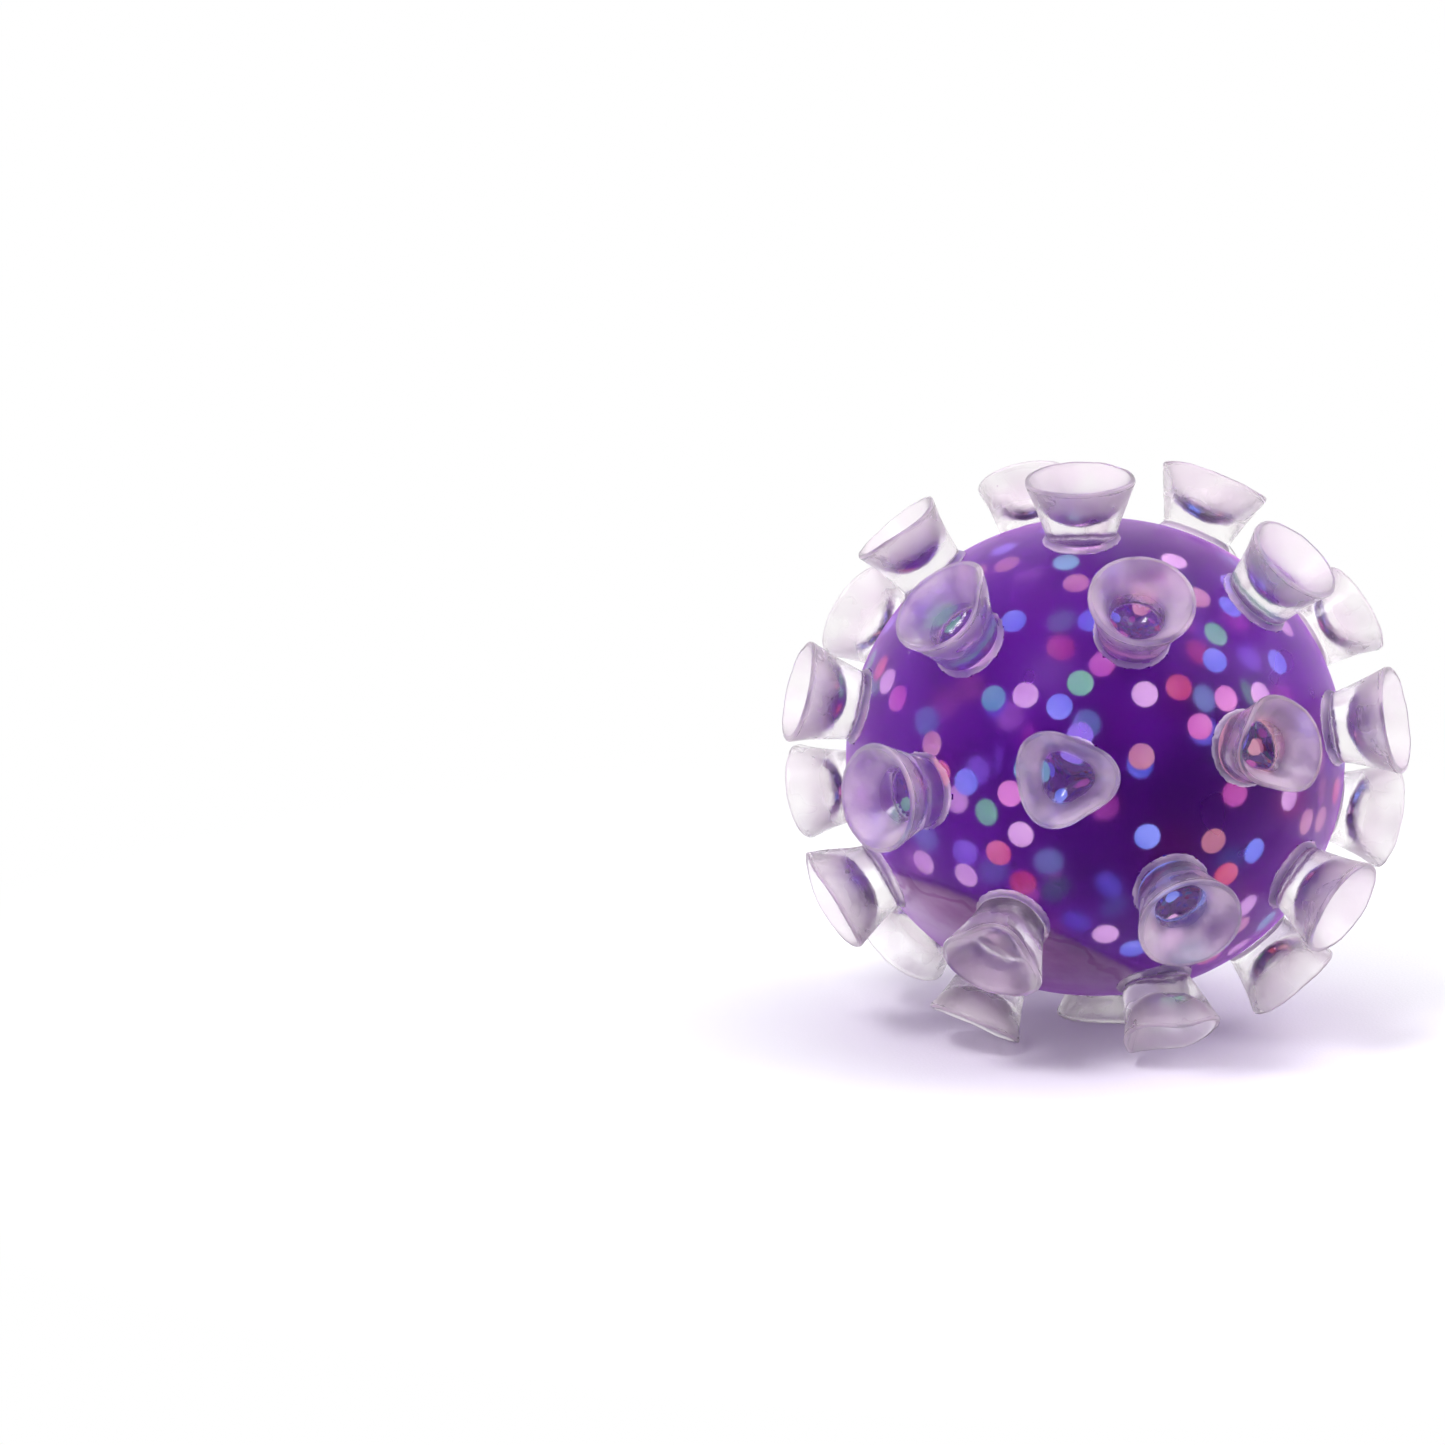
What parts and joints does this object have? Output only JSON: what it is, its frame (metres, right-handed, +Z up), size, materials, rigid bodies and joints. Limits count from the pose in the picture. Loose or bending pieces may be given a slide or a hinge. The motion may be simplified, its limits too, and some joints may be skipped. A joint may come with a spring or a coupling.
{
  "type": "suction-cup squeeze ball",
  "caption": "Soft clear ball filled with tinted gel and confetti, covered with flexible suction cups that stick to smooth surfaces.",
  "frame": {"origin": "on the floor under the middle of the ball", "axes": "+Z up, -Y towards the viewer of the picture"},
  "size_m": [0.0756, 0.0762, 0.0704],
  "materials": {
    "clear_shell": "clear soft rubber, glossy",
    "plug_rubber": "milky soft rubber",
    "purple_gel": "see-through purple gel",
    "cup_rubber": "clear, slightly milky soft rubber",
    "confetti_pink": "opaque foil dot",
    "confetti_rose": "opaque foil dot",
    "confetti_red": "opaque foil dot",
    "confetti_salmon": "opaque foil dot",
    "confetti_blue": "opaque foil dot",
    "confetti_violet": "opaque foil dot",
    "confetti_teal": "opaque foil dot",
    "confetti_green": "opaque foil dot"
  },
  "bodies": {
    "ball": {"shell": "clear_shell", "filler_plug": "plug_rubber", "gel_fill": "purple_gel", "confetti_pink": "confetti_pink", "confetti_rose": "confetti_rose", "confetti_red": "confetti_red", "confetti_salmon": "confetti_salmon", "confetti_blue": "confetti_blue", "confetti_violet": "confetti_violet", "confetti_teal": "confetti_teal", "confetti_green": "confetti_green", "cup_feet": "cup_rubber"},
    "cup_01": {"cup_01": "cup_rubber"},
    "cup_02": {"cup_02": "cup_rubber"},
    "cup_03": {"cup_03": "cup_rubber"},
    "cup_04": {"cup_04": "cup_rubber"},
    "cup_05": {"cup_05": "cup_rubber"},
    "cup_06": {"cup_06": "cup_rubber"},
    "cup_07": {"cup_07": "cup_rubber"},
    "cup_08": {"cup_08": "cup_rubber"},
    "cup_09": {"cup_09": "cup_rubber"},
    "cup_10": {"cup_10": "cup_rubber"},
    "cup_11": {"cup_11": "cup_rubber"},
    "cup_12": {"cup_12": "cup_rubber"},
    "cup_13": {"cup_13": "cup_rubber"},
    "cup_14": {"cup_14": "cup_rubber"},
    "cup_15": {"cup_15": "cup_rubber"},
    "cup_16": {"cup_16": "cup_rubber"},
    "cup_17": {"cup_17": "cup_rubber"},
    "cup_18": {"cup_18": "cup_rubber"},
    "cup_19": {"cup_19": "cup_rubber"},
    "cup_20": {"cup_20": "cup_rubber"},
    "cup_21": {"cup_21": "cup_rubber"},
    "cup_22": {"cup_22": "cup_rubber"},
    "cup_23": {"cup_23": "cup_rubber"},
    "cup_24": {"cup_24": "cup_rubber"},
    "cup_25": {"cup_25": "cup_rubber"},
    "cup_26": {"cup_26": "cup_rubber"},
    "cup_27": {"cup_27": "cup_rubber"},
    "cup_28": {"cup_28": "cup_rubber"},
    "cup_29": {"cup_29": "cup_rubber"},
    "cup_30": {"cup_30": "cup_rubber"},
    "cup_31": {"cup_31": "cup_rubber"},
    "cup_32": {"cup_32": "cup_rubber"}
  },
  "joints": [
    {"name": "cup_01_bend", "type": "hinge", "parent": "ball", "child": "cup_01", "pos_m": [0.01221, 0.00834, 0.05898], "axis": [-0.5641, 0.8257, 0], "range_deg": [-15, 15], "stiffness_Nm_per_rad": 0.06},
    {"name": "cup_02_bend", "type": "hinge", "parent": "ball", "child": "cup_02", "pos_m": [0.02146, 0.02096, 0.03338], "axis": [-0.6987, 0.7155, 0], "range_deg": [-15, 15], "stiffness_Nm_per_rad": 0.06},
    {"name": "cup_03_bend", "type": "hinge", "parent": "ball", "child": "cup_03", "pos_m": [0.02796, -0.0093, 0.03925], "axis": [0.3156, 0.9489, 0], "range_deg": [-15, 15], "stiffness_Nm_per_rad": 0.06},
    {"name": "cup_04_bend", "type": "hinge", "parent": "ball", "child": "cup_04", "pos_m": [-0.003, 0.02222, 0.01441], "axis": [-0.991, -0.1337, 0], "range_deg": [-15, 15], "stiffness_Nm_per_rad": 0.06},
    {"name": "cup_05_bend", "type": "hinge", "parent": "ball", "child": "cup_05", "pos_m": [0.00756, -0.02721, 0.02391], "axis": [0.9635, 0.2676, 0], "range_deg": [-15, 15], "stiffness_Nm_per_rad": 0.06},
    {"name": "cup_06_bend", "type": "hinge", "parent": "ball", "child": "cup_06", "pos_m": [-0.01953, 0.0007, 0.05583], "axis": [-0.0359, -0.9994, 0], "range_deg": [-15, 15], "stiffness_Nm_per_rad": 0.06},
    {"name": "cup_07_bend", "type": "hinge", "parent": "ball", "child": "cup_07", "pos_m": [0.003, -0.02222, 0.05312], "axis": [0.991, 0.1337, 0], "range_deg": [-15, 15], "stiffness_Nm_per_rad": 0.06},
    {"name": "cup_08_bend", "type": "hinge", "parent": "ball", "child": "cup_08", "pos_m": [-0.00756, 0.02721, 0.04363], "axis": [-0.9635, -0.2676, 0], "range_deg": [-15, 15], "stiffness_Nm_per_rad": 0.06},
    {"name": "cup_09_bend", "type": "hinge", "parent": "ball", "child": "cup_09", "pos_m": [0.01953, -0.0007, 0.0117], "axis": [0.0359, 0.9994, 0], "range_deg": [-15, 15], "stiffness_Nm_per_rad": 0.06},
    {"name": "cup_10_bend", "type": "hinge", "parent": "ball", "child": "cup_10", "pos_m": [-0.01221, -0.00834, 0.00856], "axis": [0.5641, -0.8257, 0], "range_deg": [-15, 15], "stiffness_Nm_per_rad": 0.06},
    {"name": "cup_11_bend", "type": "hinge", "parent": "ball", "child": "cup_11", "pos_m": [-0.02146, -0.02096, 0.03415], "axis": [0.6987, -0.7155, 0], "range_deg": [-15, 15], "stiffness_Nm_per_rad": 0.06},
    {"name": "cup_12_bend", "type": "hinge", "parent": "ball", "child": "cup_12", "pos_m": [-0.02796, 0.0093, 0.02829], "axis": [-0.3156, -0.9489, 0], "range_deg": [-15, 15], "stiffness_Nm_per_rad": 0.06},
    {"name": "cup_13_bend", "type": "hinge", "parent": "ball", "child": "cup_13", "pos_m": [0.02572, 0.00825, 0.04648], "axis": [-0.3056, 0.9522, 0], "range_deg": [-15, 15], "stiffness_Nm_per_rad": 0.06},
    {"name": "cup_14_bend", "type": "hinge", "parent": "ball", "child": "cup_14", "pos_m": [0.01078, 0.02367, 0.04832], "axis": [-0.9101, 0.4144, 0], "range_deg": [-15, 15], "stiffness_Nm_per_rad": 0.06},
    {"name": "cup_15_bend", "type": "hinge", "parent": "ball", "child": "cup_15", "pos_m": [0.01823, -0.00997, 0.05476], "axis": [0.4801, 0.8772, 0], "range_deg": [-15, 15], "stiffness_Nm_per_rad": 0.06},
    {"name": "cup_16_bend", "type": "hinge", "parent": "ball", "child": "cup_16", "pos_m": [-0.00227, -0.0067, 0.06172], "axis": [0.9473, -0.3204, 0], "range_deg": [-15, 15], "stiffness_Nm_per_rad": 0.06},
    {"name": "cup_17_bend", "type": "hinge", "parent": "ball", "child": "cup_17", "pos_m": [-0.00654, 0.01561, 0.05773], "axis": [-0.9223, -0.3865, 0], "range_deg": [-15, 15], "stiffness_Nm_per_rad": 0.06},
    {"name": "cup_18_bend", "type": "hinge", "parent": "ball", "child": "cup_18", "pos_m": [0.02873, 0.00462, 0.02665], "axis": [-0.1586, 0.9873, 0], "range_deg": [-15, 15], "stiffness_Nm_per_rad": 0.06},
    {"name": "cup_19_bend", "type": "hinge", "parent": "ball", "child": "cup_19", "pos_m": [0.00461, 0.02934, 0.02962], "axis": [-0.9879, 0.1553, 0], "range_deg": [-15, 15], "stiffness_Nm_per_rad": 0.06},
    {"name": "cup_20_bend", "type": "hinge", "parent": "ball", "child": "cup_20", "pos_m": [0.01594, 0.0179, 0.01623], "axis": [-0.7467, 0.6651, 0], "range_deg": [-15, 15], "stiffness_Nm_per_rad": 0.06},
    {"name": "cup_21_bend", "type": "hinge", "parent": "ball", "child": "cup_21", "pos_m": [0.01613, -0.02446, 0.04005], "axis": [0.8348, 0.5506, 0], "range_deg": [-15, 15], "stiffness_Nm_per_rad": 0.06},
    {"name": "cup_22_bend", "type": "hinge", "parent": "ball", "child": "cup_22", "pos_m": [0.02294, -0.01563, 0.02267], "axis": [0.563, 0.8264, 0], "range_deg": [-15, 15], "stiffness_Nm_per_rad": 0.06},
    {"name": "cup_23_bend", "type": "hinge", "parent": "ball", "child": "cup_23", "pos_m": [-0.01613, 0.02446, 0.02748], "axis": [-0.8348, -0.5506, 0], "range_deg": [-15, 15], "stiffness_Nm_per_rad": 0.06},
    {"name": "cup_24_bend", "type": "hinge", "parent": "ball", "child": "cup_24", "pos_m": [0.00227, 0.0067, 0.00582], "axis": [-0.9473, 0.3204, 0], "range_deg": [-26, 3], "stiffness_Nm_per_rad": 0.06},
    {"name": "cup_25_bend", "type": "hinge", "parent": "ball", "child": "cup_25", "pos_m": [-0.01823, 0.00997, 0.01277], "axis": [-0.4801, -0.8772, 0], "range_deg": [-15, 15], "stiffness_Nm_per_rad": 0.06},
    {"name": "cup_26_bend", "type": "hinge", "parent": "ball", "child": "cup_26", "pos_m": [-0.00461, -0.02934, 0.03791], "axis": [0.9879, -0.1553, 0], "range_deg": [-15, 15], "stiffness_Nm_per_rad": 0.06},
    {"name": "cup_27_bend", "type": "hinge", "parent": "ball", "child": "cup_27", "pos_m": [0.00654, -0.01561, 0.0098], "axis": [0.9223, 0.3865, 0], "range_deg": [-15, 15], "stiffness_Nm_per_rad": 0.06},
    {"name": "cup_28_bend", "type": "hinge", "parent": "ball", "child": "cup_28", "pos_m": [-0.01078, -0.02367, 0.01922], "axis": [0.9101, -0.4144, 0], "range_deg": [-15, 15], "stiffness_Nm_per_rad": 0.06},
    {"name": "cup_29_bend", "type": "hinge", "parent": "ball", "child": "cup_29", "pos_m": [-0.01594, -0.0179, 0.0513], "axis": [0.7467, -0.6651, 0], "range_deg": [-15, 15], "stiffness_Nm_per_rad": 0.06},
    {"name": "cup_30_bend", "type": "hinge", "parent": "ball", "child": "cup_30", "pos_m": [-0.02294, 0.01563, 0.04486], "axis": [-0.563, -0.8264, 0], "range_deg": [-15, 15], "stiffness_Nm_per_rad": 0.06},
    {"name": "cup_31_bend", "type": "hinge", "parent": "ball", "child": "cup_31", "pos_m": [-0.02873, -0.00462, 0.04089], "axis": [0.1586, -0.9873, 0], "range_deg": [-15, 15], "stiffness_Nm_per_rad": 0.06},
    {"name": "cup_32_bend", "type": "hinge", "parent": "ball", "child": "cup_32", "pos_m": [-0.02572, -0.00825, 0.02106], "axis": [0.3056, -0.9522, 0], "range_deg": [-15, 15], "stiffness_Nm_per_rad": 0.06}
  ]
}
